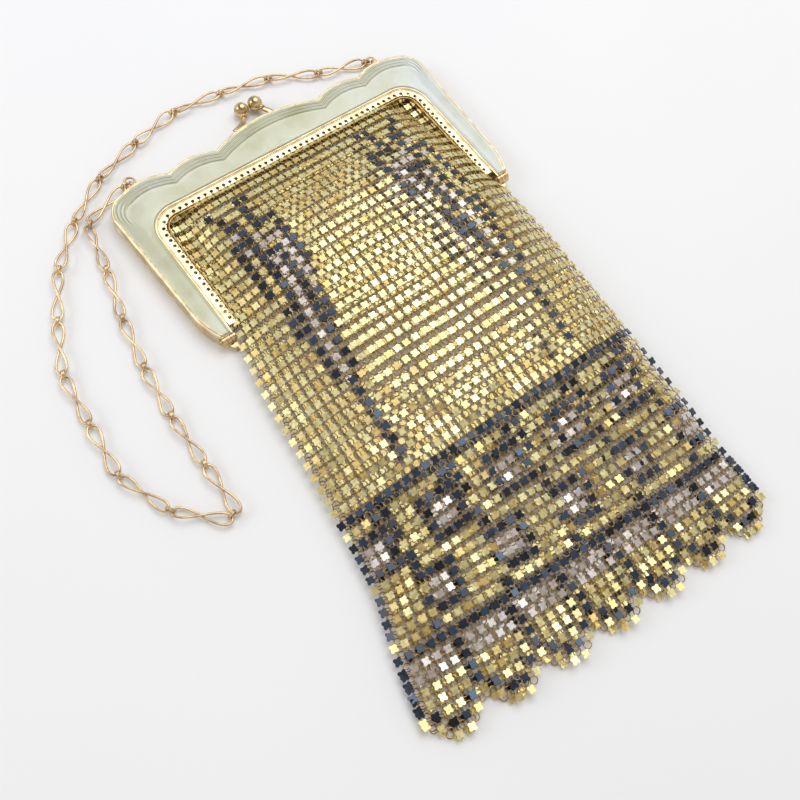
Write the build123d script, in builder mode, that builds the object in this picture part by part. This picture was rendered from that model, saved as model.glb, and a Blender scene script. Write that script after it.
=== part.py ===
from build123d import *
import os
from math import acos, asin, atan2, cos, degrees, hypot, radians, sin, sqrt

# Enamelled frame with a metal mesh bag, lying on its back. Millimetres, Z up.
# X runs across the bag, +Y towards the top of the frame, -Y towards the fringe.
# The origin is on the flat back of the frame, in the middle of its top bar.

# ---- frame ----
half_width = 57.5          # centre to the outer edge at the top corners
arm_taper = 1.5            # how much each arm leans in by its lower straight end
arm_length = 41.0          # top corner to where the arm starts to round in
tip_y = -53.0              # lower tip of each arm
frame_band = 8.0           # outer edge to the inner edge along the arms
arch_half = 19.0           # half length of the middle arch
arch_top = 10.0
cusp_y = 6.0               # foot of the arch and of the scallops
scallop_rise = 1.9
shoulder_x = half_width - 5.5   # outer end of the scallops
shoulder_y = 7.0
half_depth = 2.4           # depth of one frame half
half_gap = 0.2             # between the two closed halves
sheet = 0.7                # stamped sheet
skirt = 0.9                # rolled edge of the stamping
rim_seat_half = half_width - frame_band   # the frame's inner edge, where the rim sits
tip_x = rim_seat_half + 1.3
rim_seat_top = -4.0
rim_corner = 8.0

# ---- perforated rim and its lacing ----
rim_width = 2.8
rim_sheet = 0.6
rim_depth = 0.25           # rim face below the frame's outer face
rim_hole_radius = 0.55
rim_hole_pitch = 2.2
rim_hole_edge = 0.9        # hole centres from the rim's inner edge
lacing_radius = 0.3
lacing_gap = 0.35          # rim to lacing wire, and lacing wire to mesh

# ---- hinges, one at each arm's tip ----
hinge_y = -49.5
barrel_radius = 1.9
barrel_clearance = 0.25
leaf_width = 1.2
leaf_gap = 0.12
barrel_start = rim_seat_half
hinge_pin_radius = 0.7
hinge_pin_running = 0.05
pin_head_radius = 1.2
pin_head = 0.5

# ---- clasp ----
ball_radius = 2.4
ball_gap = 0.3             # between the two knobs, side by side
ball_y = 17.0
arm_foot_x = 8.0
arm_width = 3.4
arm_sheet = 1.0
arm_seat = 1.6             # how far a strap reaches down inside the frame's top edge
arm_neck = 1.8             # width of a strap where it enters its knob

# ---- chain ----
eye_x = shoulder_x - 6.0
eye_radius = 1.2
eye_wire = 0.35
eye_clear = 0.4            # eye above the frame's top edge
end_ring_radius = 1.6
end_ring_wire = 0.35
ring_radius = 1.25
ring_wire = 0.3
link_wire = 0.38
link_loop = 1.35           # radius of a link's end loop
link_span = 13.2           # between the centres of a link's two end loops
loop_offset = 1.8          # ring centre to a link's loop centre
end_ring_offset = 2.05     # ring centre to an end ring's centre
# Each strand is laid from its eye: the direction of each link in turn, in degrees, down to the fold.
right_headings = [165, 155, 170, 175, 195, 200, 215, 225, 240, 245, 265, 265, 290, 315]
left_headings = [200, 260, 255, 260, 265, 270, 270]
fold_heading = 20          # the ring at the fold, along the right strand

# ---- mesh bag ----
mesh_wall = 0.7
bag_lean = 6.0             # the bag lies a little to the left below the frame
row_turn = 5.0             # and its lowest rows are turned by this
bag_start = 3.6            # top of the pouch below the arm tips
bag_length = 101.0         # arm tips to the bottom seam
bag_height = 15.0          # thickness of the filled pouch
bag_top_width = 2 * rim_seat_half + 1.0
bag_side_slope = 9.0       # width of each sloping side of the pouch
bag_fold_inset = 3.0       # the side fold is this much wider than the part on the table
bag_belly = 36.0           # length over which it stays that thick
bag_bottom_height = 4.6
front_drop_y = -37.0       # lower edge of the mesh that lifts with the front half
front_rise = bag_height - 0.8
front_top_height = 5.4     # the mesh leaves the rim a little above the frame's face
front_side_slope = 8.0
front_lip = 0.6            # upright lower edge of the front mesh's sides

# ---- fringe ----
teeth = 7
tooth_width = 16.2
tooth_straight = 12.5      # seam to the notches
tooth_point = 9.0          # notches to the tips
tooth_tip_half = 0.8       # half width of a tooth's blunt tip
hem_gather = 4.4           # the bottom seam is this much narrower than the fringe
bag_bottom_width = teeth * tooth_width - hem_gather
layer_gap = 0.5            # between the fringe's two layers
fringe_sheet = 0.7
seam_gap = 2.9
mesh_ring_radius = 0.95
mesh_ring_wire = 0.2
rings_per_tooth = 5
seam_pitch = 0.95 * tooth_width / rings_per_tooth
ring_touch_gap = 0.2       # a tooth's tip to the ring below it

mid_z = half_depth + half_gap / 2
chain_z = ring_radius + ring_wire
rim_inner_half = rim_seat_half - rim_width
lacing_inset = rim_width + lacing_gap + lacing_radius
mesh_inset = rim_width + 2 * lacing_gap + 2 * lacing_radius
both_sides = {"left": -1, "right": 1}


def save(part, name):
    part.label = name
    export_step(part, f"parts/{name}.step")


def flipped(part):
    """The same piece on the front half: turned over about the closing plane."""
    return mirror(part, about=Plane.XY.offset(mid_z))


def arc_middle(start, end, rise):
    """A point half way along a low arc over two points."""
    return ((start[0] + end[0]) / 2, (start[1] + end[1]) / 2 + rise)


def frame_outline(inset, lower_y):
    """Half the frame's outline, drawn inset from its edge, down to lower_y."""
    arch_radius = (arch_half**2 + (arch_top - cusp_y) ** 2) / (2 * (arch_top - cusp_y))
    middle = arch_half / 2
    arch_middle_y = arch_top - arch_radius + sqrt(arch_radius**2 - middle**2)
    foot = (arch_half, cusp_y - inset)
    cusp = ((arch_half + shoulder_x) / 2, (cusp_y + shoulder_y) / 2 - inset)
    shoulder = (shoulder_x - inset / 2, shoulder_y - inset)
    corner = (half_width - inset, 0)
    arm_end = (half_width - arm_taper - inset, -arm_length)
    inner_x = rim_seat_half + inset
    inner_top = rim_seat_top + inset
    centre_y = rim_seat_top - rim_corner
    bend = sqrt(0.5) * (rim_corner + inset)
    centre_x = rim_seat_half - rim_corner
    ThreePointArc((0, arch_top - inset), (middle, arch_middle_y - inset), foot)
    ThreePointArc(foot, arc_middle(foot, cusp, scallop_rise), cusp)
    ThreePointArc(cusp, arc_middle(cusp, shoulder, scallop_rise), shoulder)
    ThreePointArc(shoulder, (half_width - 1.5 - inset, shoulder_y - 2.4 - inset / 2), corner)
    Line(corner, arm_end)
    if lower_y < -arm_length:
        bow = (half_width - arm_taper - 1.6, -arm_length + (lower_y + arm_length) / 2)
        ThreePointArc(arm_end, bow, (tip_x, lower_y))
        Line((tip_x, lower_y), (inner_x, lower_y))
    else:
        Line(arm_end, (inner_x, lower_y))
    Line((inner_x, lower_y), (inner_x, centre_y))
    ThreePointArc((inner_x, centre_y), (centre_x + bend, centre_y + bend), (centre_x, inner_top))
    Line((centre_x, inner_top), (0, inner_top))


def rim_edge(inset):
    """Half of a line that follows the rim's seat, inset towards the mesh, without its lower end."""
    radius = rim_corner - inset
    centre = (rim_seat_half - rim_corner, rim_seat_top - rim_corner)
    bend = sqrt(0.5) * radius
    top = (centre[0], rim_seat_top - inset)
    side = (rim_seat_half - inset, centre[1])
    Line((0, top[1]), top)
    ThreePointArc(top, (centre[0] + bend, centre[1] + bend), side)
    Line(side, (side[0], rim_end_y))


rim_end_y = hinge_y + barrel_radius + barrel_clearance + 0.3


def leaf_x(number):
    return barrel_start + leaf_width / 2 + number * (leaf_width + leaf_gap)


barrel_end = leaf_x(2) + leaf_width / 2


def across(x, y, z):
    """A plane facing along +X at a point."""
    return Plane(origin=(x, y, z), x_dir=(0, 1, 0), z_dir=(1, 0, 0))


def hinge_cylinder(side, number, radius, width):
    with BuildPart() as barrel:
        with BuildSketch(across(side * leaf_x(number), hinge_y, mid_z)):
            Circle(radius)
        extrude(amount=width / 2, both=True)
    return barrel.part


def leaf_web(side, number):
    """The strap from a hinge leaf's barrel down into its own frame half and up the arm."""
    reach = barrel_radius + 1.4
    with BuildPart() as web:
        with BuildSketch(across(side * leaf_x(number), hinge_y, mid_z)):
            with Locations((0, -mid_z)):
                Rectangle(reach, mid_z, align=(Align.MIN, Align.MIN))
        extrude(amount=leaf_width / 2, both=True)
        with BuildSketch(Plane.XY):
            Rectangle(3 * half_width, 3 * half_width)
        extrude(amount=half_depth, mode=Mode.INTERSECT)
    return web.part


def frame_half(own_leaves, other_leaves, keeps_tip):
    """One stamped half, outer face on the table, open side up, with its hinge leaves."""
    sides = both_sides.values()
    slot = leaf_width + 2 * leaf_gap
    rooms = [hinge_cylinder(side, number, barrel_radius + barrel_clearance, slot)
             for side in sides for number in other_leaves]
    rooms += [pin_head_room(side) for side in sides]
    leaves = [leaf_web(side, number) for side in sides for number in own_leaves]
    leaves += [hinge_cylinder(side, number, barrel_radius, leaf_width) for side in sides for number in own_leaves]
    with BuildPart() as half:
        with BuildSketch():
            with BuildLine():
                frame_outline(0, tip_y)
                mirror(about=Plane.YZ)
            make_face()
        extrude(amount=half_depth)
        with BuildSketch(Plane.XY.offset(sheet)):
            with BuildLine():
                frame_outline(skirt, -arm_length)
                mirror(about=Plane.YZ)
            make_face()
        extrude(amount=half_depth, mode=Mode.SUBTRACT)
        if not keeps_tip:
            with BuildSketch():
                with Locations((0, hinge_y)):
                    Rectangle(3 * half_width, 3 * arm_length, align=(Align.CENTER, Align.MAX))
            extrude(amount=half_depth, mode=Mode.SUBTRACT)
        add(rooms, mode=Mode.SUBTRACT)
        add(leaves)
    return half.part


def pin_head_room(side):
    """Space for the pin's outer head, open to the arm's outer edge."""
    with BuildPart() as room:
        with BuildSketch(across(side * barrel_end, hinge_y, mid_z)):
            Circle(pin_head_radius + leaf_gap)
        extrude(amount=side * half_width)
    return room.part


def bored(part, leaves, radius):
    bores = [hinge_cylinder(side, number, radius, leaf_width + leaf_gap)
             for side in both_sides.values() for number in leaves]
    with BuildPart() as leaf_bores:
        add(part)
        add(bores, mode=Mode.SUBTRACT)
    return leaf_bores.part


def hinge_pin(side):
    start, end = barrel_start, barrel_end
    with BuildPart() as pin:
        with BuildSketch(across(side * (start + end) / 2, hinge_y, mid_z)):
            Circle(hinge_pin_radius)
        extrude(amount=(end - start) / 2, both=True)
        for face_x, way in ((start, -1), (end, 1)):
            with BuildSketch(across(side * (face_x + way * pin_head / 2), hinge_y, mid_z)):
                Circle(pin_head_radius)
            extrude(amount=pin_head / 2, both=True)
    return pin.part


def hole_spots():
    """Hole centres along the rim: the top run, the two corners and the two sides."""
    inset = rim_width - rim_hole_edge
    radius = rim_corner - inset
    centre_x, centre_y = rim_seat_half - rim_corner, rim_seat_top - rim_corner
    spots = []
    count = round(2 * centre_x / rim_hole_pitch)
    for n in range(count + 1):
        spots.append((-centre_x + n * 2 * centre_x / count, rim_seat_top - inset))
    turns = round(radius * radians(90) / rim_hole_pitch)
    for n in range(1, turns):
        angle = radians(90 * n / turns)
        for side in both_sides.values():
            spots.append((side * (centre_x + radius * sin(angle)), centre_y + radius * cos(angle)))
    run = centre_y - rim_end_y - rim_hole_pitch / 2
    count = int(run / rim_hole_pitch)
    for n in range(count + 1):
        for side in both_sides.values():
            spots.append((side * (rim_seat_half - inset), centre_y - n * rim_hole_pitch))
    return spots


def mesh_rim():
    """The perforated strip on the frame's inner edge that the mesh hangs from."""
    with BuildPart() as rim:
        with BuildSketch(Plane.XY.offset(rim_depth)):
            with BuildLine():
                rim_edge(0)
                Line((rim_seat_half, rim_end_y), (rim_inner_half, rim_end_y))
                rim_edge(rim_width)
                mirror(about=Plane.YZ)
            make_face()
            with Locations(*hole_spots()):
                Circle(rim_hole_radius, mode=Mode.SUBTRACT)
        extrude(amount=rim_sheet)
    return rim.part


def lacing_wire():
    """The wire inside the rim that carries the first row of mesh rings."""
    with BuildPart() as wire:
        with BuildLine(Plane.XY.offset(rim_depth + rim_sheet / 2)) as path:
            rim_edge(lacing_inset)
            mirror(about=Plane.YZ)
        with BuildSketch(Plane(origin=path.line @ 0, z_dir=path.line % 0)):
            Circle(lacing_radius)
        sweep(path=path.line)
    return wire.part


def clasp_arm():
    """The strap from the frame's top edge to a knob, for the back half's side, at the right."""
    ball_x = ball_radius + ball_gap / 2
    with BuildPart() as strap:
        with BuildSketch(Plane.XY.offset(sheet)):
            with BuildLine():
                Polyline(
                    (arm_foot_x - arm_width, arch_top - arm_seat),
                    (arm_foot_x + arm_width / 2, arch_top - arm_seat),
                    (ball_x + arm_neck / 2, ball_y),
                    (ball_x - arm_neck / 2, ball_y),
                    close=True,
                )
            make_face()
        extrude(amount=arm_sheet)
    return strap.part


def clasp_ball(side):
    ball_x = side * (ball_radius + ball_gap / 2)
    with BuildPart() as ball:
        with Locations((ball_x, ball_y, mid_z)):
            Sphere(ball_radius)
    return ball.part


def wire_ring(centre, normal, radius, wire):
    with BuildPart() as ring:
        with Locations(Plane(origin=centre, z_dir=normal)):
            Torus(radius, wire)
    return ring.part


def eye_y():
    highest = (cusp_y + shoulder_y) / 2 + scallop_rise + 0.4
    return highest + eye_clear + eye_radius + eye_wire


def chain_eye(side):
    """A soldered wire eye on the back half's top edge, its hole along X."""
    stem_foot = shoulder_y - 1.0
    with BuildPart() as eye:
        with Locations(Plane(origin=(side * eye_x, eye_y(), chain_z), z_dir=(1, 0, 0))):
            Torus(eye_radius, eye_wire)
        with BuildSketch(across(side * eye_x, stem_foot, sheet)):
            length = eye_y() - eye_radius - stem_foot
            Rectangle(length, half_depth - 2 * sheet, align=(Align.MIN, Align.MIN))
        extrude(amount=eye_wire, both=True)
    return eye.part


def step_on(point, heading, distance):
    return (point[0] + distance * cos(radians(heading)), point[1] + distance * sin(radians(heading)))


def strand(start, headings, end_heading):
    """Ring places with their headings, and each link's two loop centres, from an end ring onwards."""
    point = step_on(start, headings[0], end_ring_offset)
    rings, links = [(point, headings[0])], []
    between = [(a + b) / 2 for a, b in zip(headings, headings[1:])]
    for heading, following in zip(headings, between + [end_heading]):
        first = step_on(point, rings[-1][1], loop_offset)
        second = step_on(first, heading, link_span)
        point = step_on(second, following, loop_offset)
        links.append((first, second))
        rings.append((point, following))
    return rings, links


def chain_route():
    """Both strands, each swung about its own eye until they end in the same ring at the fold."""
    spacing, end_y = 2 * eye_x, eye_y() + end_ring_radius
    strands = {"right": ((eye_x, end_y), right_headings, fold_heading + 360),
               "left": ((-eye_x, end_y), left_headings, fold_heading + 180)}
    chord, chord_heading = {}, {}
    for name, (start, headings, end_heading) in strands.items():
        end = strand(start, headings, end_heading)[0][-1][0]
        chord[name] = hypot(end[0] - start[0], end[1] - start[1])
        chord_heading[name] = degrees(atan2(end[1] - start[1], end[0] - start[0]))
    rings, links = [], []
    for name, other, meets in (("right", "left", lambda angle: 180 + angle), ("left", "right", lambda angle: -angle)):
        start, headings, end_heading = strands[name]
        corner = (spacing**2 + chord[name] ** 2 - chord[other] ** 2) / (2 * spacing * chord[name])
        swing = (meets(degrees(acos(corner))) - chord_heading[name] + 180) % 360 - 180
        strand_rings, strand_links = strand(start, [h + swing for h in headings], end_heading + swing)
        rings += strand_rings if name == "right" else strand_rings[:-1]
        links += strand_links
    return rings, links


def wire_along(path):
    with BuildPart() as wire:
        with BuildSketch(Plane(origin=path @ 0, z_dir=path % 0)):
            Circle(link_wire)
        sweep(path=path)
    return wire.part


def chain_link(first, second):
    """A figure-of-eight wire link: two straight strands that cross, and a bow round each end."""
    middle = ((first[0] + second[0]) / 2, (first[1] + second[1]) / 2, chain_z)
    along = (second[0] - first[0], second[1] - first[1], 0)
    frame = Plane(origin=middle, x_dir=along, z_dir=(0, 0, 1))
    reach = hypot(*along) / 2
    lean = asin(link_loop / reach)
    turn_x, turn_y = reach - link_loop * sin(lean), link_loop * cos(lean)
    wires = []
    for way in (-1, 1):
        with BuildLine(frame) as crossing:
            Line((-turn_x, -way * turn_y), (turn_x, way * turn_y))
        with BuildLine(frame) as bow:
            ThreePointArc((way * turn_x, turn_y), (way * (reach + link_loop), 0), (way * turn_x, -turn_y))
        wires += [wire_along(crossing.line), wire_along(bow.line)]
    with BuildPart() as link:
        add(wires)
    return link.part


def bag_plane(distance):
    """An upright plane across the bag at a distance below the arm tips."""
    turn = radians(row_turn) * distance / bag_length
    return Plane(
        origin=(-distance * sin(radians(bag_lean)), tip_y - distance * cos(radians(bag_lean)), 0),
        x_dir=(cos(turn), -sin(turn), 0),
        z_dir=(-sin(turn), -cos(turn), 0),
    )


def bag_section(distance, inset):
    """One six-sided section of the pouch, its local Y down, so heights are negative."""
    share = (distance - bag_start) / (bag_length - bag_start)
    width = bag_top_width + share * (bag_bottom_width - bag_top_width)
    thin = max(0.0, (distance - bag_start - bag_belly) / (bag_length - bag_start - bag_belly))
    height = bag_height + thin * (bag_bottom_height - bag_height)
    half = width / 2 - inset
    low, high = inset, height - inset
    middle = 0.4 * height
    slope = min(bag_side_slope, 1.2 * height)
    way = bag_plane(distance).y_dir.Z
    corners = [(half - bag_fold_inset, low), (half, middle), (half - slope, high)]
    outline = corners + [(-x, z) for x, z in reversed(corners)]
    with BuildSketch(bag_plane(distance)) as section:
        with BuildLine():
            Polyline(*[(x, z * way) for x, z in outline], close=True)
        make_face()
    return section.sketch


def lofted(sections):
    """A solid with straight sides through sections made beforehand."""
    faces = [section.face() for section in sections]
    with BuildPart() as body:
        add(faces)
        loft(ruled=True)
    return body.part


def hollowed(body, room):
    with BuildPart() as hollow:
        add(body)
        add(room, mode=Mode.SUBTRACT)
    return hollow.part


def pouch():
    """The mesh below the frame: a flattened tube, closed at the seam and open to the frame."""
    belly_end = bag_start + bag_belly
    stations = (bag_start, bag_start + bag_belly / 2, belly_end, (belly_end + bag_length) / 2, bag_length)
    inner = (bag_start - 1.0, *stations[1:-1], bag_length - 2 * mesh_wall)
    bag = lofted([bag_section(distance, 0) for distance in stations])
    return hollowed(bag, lofted([bag_section(distance, mesh_wall) for distance in inner]))


def upper_section(y, height, inset):
    """One section of the front mesh inside the frame, open towards the back."""
    half = rim_seat_half - mesh_inset - inset
    floor = mid_z + rim_sheet if inset == 0 else mid_z - 1
    slope = min(front_side_slope, 1.5 * height)
    with BuildSketch(Plane(origin=(0, y, 0), x_dir=(1, 0, 0), z_dir=(0, -1, 0))) as section:
        with BuildLine():
            Polyline(
                (-half, floor), (half, floor), (half, floor + front_lip), (half - slope, height - inset),
                (-half + slope, height - inset), (-half, floor + front_lip), close=True,
            )
        make_face()
    return section.sketch


def front_upper_mesh():
    """The front mesh between the rim's sides: it lifts with the front half."""
    top_y = rim_seat_top - mesh_inset
    dome = lofted([upper_section(top_y, front_top_height, 0), upper_section(front_drop_y, front_rise, 0)])
    room = lofted([upper_section(top_y - mesh_wall, front_top_height, mesh_wall),
                   upper_section(front_drop_y - 1, front_rise, mesh_wall)])
    return hollowed(dome, room)


def back_upper_mesh():
    """The back mesh between the rim's sides, flat on the table."""
    half = rim_seat_half - mesh_inset
    top_y = rim_seat_top - mesh_inset
    low = tip_y - bag_start + 0.2
    with BuildPart() as back:
        with BuildSketch() as panel:
            with Locations((0, top_y)):
                Rectangle(2 * half, top_y - low, align=(Align.CENTER, Align.MAX))
            fillet(panel.vertices().group_by(Axis.Y)[-1], rim_corner - mesh_inset)
        extrude(amount=mesh_wall)
    return back.part


def fringe_plane(height):
    plane = bag_plane(bag_length + seam_gap)
    return Plane(origin=plane.origin + Vector(0, 0, height), x_dir=plane.x_dir, z_dir=(0, 0, 1))


def tooth_tips():
    return [((n - (teeth - 1) / 2) * tooth_width, -tooth_straight - tooth_point) for n in range(teeth)]


def fringe(height):
    """One layer of the fringe: seven pointed teeth joined above their notches."""
    half = teeth * tooth_width / 2
    zigzag = [(-half, 0), (-half, -tooth_straight)]
    for tip in tooth_tips():
        zigzag += [(tip[0] - tooth_tip_half, tip[1]), (tip[0] + tooth_tip_half, tip[1]),
                   (tip[0] + tooth_width / 2, -tooth_straight)]
    zigzag.append((half, 0))
    with BuildPart() as layer:
        with BuildSketch(fringe_plane(height)):
            with BuildLine():
                Polyline(*zigzag, close=True)
            make_face()
        extrude(amount=fringe_sheet)
    return layer.part


def flat_rings(plane, spots):
    """Separate small mesh rings lying flat at places on a plane."""
    with BuildPart() as rings:
        with Locations(plane):
            with Locations(*spots):
                Torus(mesh_ring_radius, mesh_ring_wire)
    return rings.part


os.makedirs("parts", exist_ok=True)

back_leaves, front_leaves = (0, 2), (1,)
back = frame_half(back_leaves, front_leaves, keeps_tip=True)
save(bored(back, back_leaves, hinge_pin_radius), "back_frame_shell")
front = frame_half(front_leaves, back_leaves, keeps_tip=False)
front = flipped(bored(front, front_leaves, hinge_pin_radius + hinge_pin_running))
save(front, "front_frame_shell")

save(mesh_rim(), "back_mesh_rim")
save(flipped(mesh_rim()), "front_mesh_rim")
save(lacing_wire(), "back_lacing_wire")
save(flipped(lacing_wire()), "front_lacing_wire")

for side_name, side in both_sides.items():
    save(hinge_pin(side), f"hinge_pin_{side_name}")
    save(chain_eye(side), f"chain_eye_{side_name}")
    end_centre = (side * eye_x, eye_y() + end_ring_radius, chain_z)
    save(wire_ring(end_centre, (0, 0, 1), end_ring_radius, end_ring_wire), f"end_ring_{side_name}")

save(clasp_arm(), "back_clasp_arm")
save(clasp_ball(1), "back_clasp_knob")
save(flipped(mirror(clasp_arm(), about=Plane.YZ)), "front_clasp_arm")
save(clasp_ball(-1), "front_clasp_knob")

ring_places, link_places = chain_route()
rings = [
    wire_ring((*place, chain_z), (-sin(radians(heading)), cos(radians(heading)), 0), ring_radius, ring_wire)
    for place, heading in ring_places
]
save(Compound(children=rings), "chain_rings")
save(Compound(children=[chain_link(*ends) for ends in link_places]), "chain_links")

save(pouch(), "mesh_pouch")
save(back_upper_mesh(), "mesh_back_upper")
save(front_upper_mesh(), "mesh_front_upper")

lower, upper = 0.0, fringe_sheet + layer_gap
save(fringe(lower), "fringe_back")
save(fringe(upper), "fringe_front")

ring_lift = {"back": lower + fringe_sheet / 2, "front": upper + fringe_sheet / 2}
drop = mesh_ring_radius + mesh_ring_wire + ring_touch_gap
for layer_name, lift in ring_lift.items():
    drop_spots = [(x, y - drop) for x, y in tooth_tips()]
    save(flat_rings(fringe_plane(lift), drop_spots), f"fringe_drops_{layer_name}")

seam_count = teeth * rings_per_tooth
seam_spots = [((n - (seam_count - 1) / 2) * seam_pitch, seam_gap / 2) for n in range(seam_count)]
save(flat_rings(fringe_plane(upper), seam_spots), "seam_rings")
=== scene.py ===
import math

import bpy
import numpy as np
from mathutils import Matrix, Vector


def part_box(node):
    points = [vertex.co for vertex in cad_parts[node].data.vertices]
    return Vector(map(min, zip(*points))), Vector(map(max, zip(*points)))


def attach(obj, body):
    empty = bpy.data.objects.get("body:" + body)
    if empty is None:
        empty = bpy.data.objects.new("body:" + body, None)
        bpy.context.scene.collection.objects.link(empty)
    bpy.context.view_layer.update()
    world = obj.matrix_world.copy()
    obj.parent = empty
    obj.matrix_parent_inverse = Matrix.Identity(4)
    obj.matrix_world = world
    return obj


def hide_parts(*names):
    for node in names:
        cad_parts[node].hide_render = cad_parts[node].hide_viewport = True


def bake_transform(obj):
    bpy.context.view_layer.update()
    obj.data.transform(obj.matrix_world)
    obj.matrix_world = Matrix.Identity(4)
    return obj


# Evening bag: enamelled frame, kissing-knob clasp, wire-link chain and a bag of linked metal plates.
# Shapes are worked out in millimetres in the CAD frame, and put into Blender in metres.

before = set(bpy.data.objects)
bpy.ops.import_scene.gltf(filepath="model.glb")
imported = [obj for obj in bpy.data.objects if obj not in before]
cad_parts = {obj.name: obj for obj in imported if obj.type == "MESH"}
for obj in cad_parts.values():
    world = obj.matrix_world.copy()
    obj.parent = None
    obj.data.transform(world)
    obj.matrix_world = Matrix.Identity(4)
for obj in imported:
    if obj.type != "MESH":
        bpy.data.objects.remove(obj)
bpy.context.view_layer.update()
MM = 0.001
random = np.random.default_rng(7)


# ---------------------------------------------------------------- mesh helpers

def as_piece(name, verts, faces, material, smooth=True):
    """A mesh object from millimetre vertices. faces is a list of tuples or of integer arrays."""
    mesh = bpy.data.meshes.new(name)
    groups = [np.asarray(group) for group in faces] if isinstance(faces[0], np.ndarray) else None
    verts = np.asarray(verts, float) * MM
    if groups is None:
        mesh.from_pydata(verts.tolist(), [], faces)
    else:
        sizes = np.concatenate([np.full(len(g), g.shape[1]) for g in groups])
        mesh.vertices.add(len(verts))
        mesh.vertices.foreach_set("co", verts.ravel())
        mesh.loops.add(int(sizes.sum()))
        mesh.loops.foreach_set("vertex_index", np.concatenate([g.ravel() for g in groups]))
        mesh.polygons.add(len(sizes))
        mesh.polygons.foreach_set("loop_start", np.concatenate([[0], np.cumsum(sizes)[:-1]]))
        mesh.update(calc_edges=True)
    mesh.validate()
    mesh.polygons.foreach_set("use_smooth", [smooth] * len(mesh.polygons))
    mesh.materials.append(material)
    piece = bpy.data.objects.new(name, mesh)
    bpy.context.scene.collection.objects.link(piece)
    return piece


def stamped(verts, faces, places, bases):
    """Copies of one small mesh: places are n x 3, bases are n x 3 x 3 with the axes as rows."""
    count, size = len(places), len(verts)
    copies = np.einsum("vk,nkj->nvj", verts, bases) + places[:, None, :]
    shift = (np.arange(count) * size)[:, None, None]
    return copies.reshape(-1, 3), [(f[None] + shift).reshape(-1, f.shape[1]) for f in faces]


def joined(parts):
    """Several (verts, faces) meshes as one."""
    verts, faces, start = [], {}, 0
    for some_verts, some_faces in parts:
        verts.append(some_verts)
        for f in some_faces:
            faces.setdefault(f.shape[1], []).append(f + start)
        start += len(some_verts)
    return np.concatenate(verts), [np.concatenate(group) for group in faces.values()]


def tube(path, radius, sides=8, closed=False, reference=(0, 0, 1)):
    """A round wire along a path of points, as (verts, faces). radius may vary along it."""
    path = np.asarray(path, float)
    count = len(path)
    if closed:
        along = np.roll(path, -1, 0) - np.roll(path, 1, 0)
    else:
        along = np.gradient(path, axis=0)
    along /= np.linalg.norm(along, axis=1)[:, None]
    across = np.cross(along, np.broadcast_to(reference, along.shape))
    across /= np.linalg.norm(across, axis=1)[:, None]
    up = np.cross(across, along)
    angle = np.linspace(0, 2 * math.pi, sides, endpoint=False)
    radius = np.broadcast_to(radius, count)[:, None, None]
    round_ = np.cos(angle)[None, :, None] * across[:, None, :] + np.sin(angle)[None, :, None] * up[:, None, :]
    verts = (path[:, None, :] + radius * round_).reshape(-1, 3)
    ring = np.arange(count if closed else count - 1)
    following = (ring + 1) % count
    side = np.arange(sides)
    beside = (side + 1) % sides
    quads = np.stack([
        ring[:, None] * sides + side, following[:, None] * sides + side,
        following[:, None] * sides + beside, ring[:, None] * sides + beside], -1).reshape(-1, 4)
    faces = [quads]
    if not closed:
        verts = np.concatenate([verts, path[[0, -1]]])
        first, last = count * sides, count * sides + 1
        end = (count - 1) * sides
        faces.append(np.concatenate([
            np.stack([np.full(sides, first), side, beside], -1),
            np.stack([np.full(sides, last), end + beside, end + side], -1)]))
    return verts, faces


def wire_ring(radius, wire, turns=14, sides=6):
    """A ring of round wire lying flat at the origin."""
    angle = np.linspace(0, 2 * math.pi, turns, endpoint=False)
    path = np.stack([radius * np.cos(angle), radius * np.sin(angle), 0 * angle], 1)
    return tube(path, wire, sides, closed=True)


def turned(profile, steps=32):
    """A round solid about its own Z from (radius, height) points that start and end on the axis."""
    profile = np.asarray(profile, float)
    angle = np.linspace(0, 2 * math.pi, steps, endpoint=False)
    ring = profile[1:-1]
    verts = np.stack([
        ring[:, None, 0] * np.cos(angle), ring[:, None, 0] * np.sin(angle),
        np.broadcast_to(ring[:, None, 1], (len(ring), steps))], -1).reshape(-1, 3)
    verts = np.concatenate([verts, [[0, 0, profile[0, 1]], [0, 0, profile[-1, 1]]]])
    row, side = np.arange(len(ring) - 1)[:, None] * steps, np.arange(steps)
    beside = (side + 1) % steps
    quads = np.stack([row + side, row + beside, row + steps + beside, row + steps + side], -1).reshape(-1, 4)
    low, high, last = len(ring) * steps, len(ring) * steps + 1, (len(ring) - 1) * steps
    caps = np.concatenate([
        np.stack([np.full(steps, low), beside, side], -1),
        np.stack([np.full(steps, high), last + side, last + beside], -1)])
    return verts, [quads, caps]


def smooth_through(x, points):
    """Smooth values at x through a few (position, value) points, with no overshoot."""
    at, value = np.array(points, float).T
    step, slope = np.diff(at), np.diff(value) / np.diff(at)
    rate = np.zeros(len(at))
    same_way = slope[:-1] * slope[1:] > 0
    weight = 2 * step[1:] + step[:-1], step[1:] + 2 * step[:-1]
    with np.errstate(divide="ignore", invalid="ignore"):
        mean = (weight[0] + weight[1]) / (weight[0] / slope[:-1] + weight[1] / slope[1:])
    rate[1:-1] = np.where(same_way, mean, 0)
    rate[0], rate[-1] = slope[0], slope[-1]
    x = np.clip(np.asarray(x, float), at[0], at[-1])
    k = np.clip(np.searchsorted(at, x) - 1, 0, len(step) - 1)
    t = (x - at[k]) / step[k]
    return (value[k] * (1 + 2 * t) * (1 - t) ** 2 + rate[k] * step[k] * t * (1 - t) ** 2
            + value[k + 1] * t * t * (3 - 2 * t) + rate[k + 1] * step[k] * t * t * (t - 1))


def unit(vectors):
    return vectors / np.linalg.norm(vectors, axis=-1, keepdims=True)


# ---------------------------------------------------------------- materials

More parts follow.
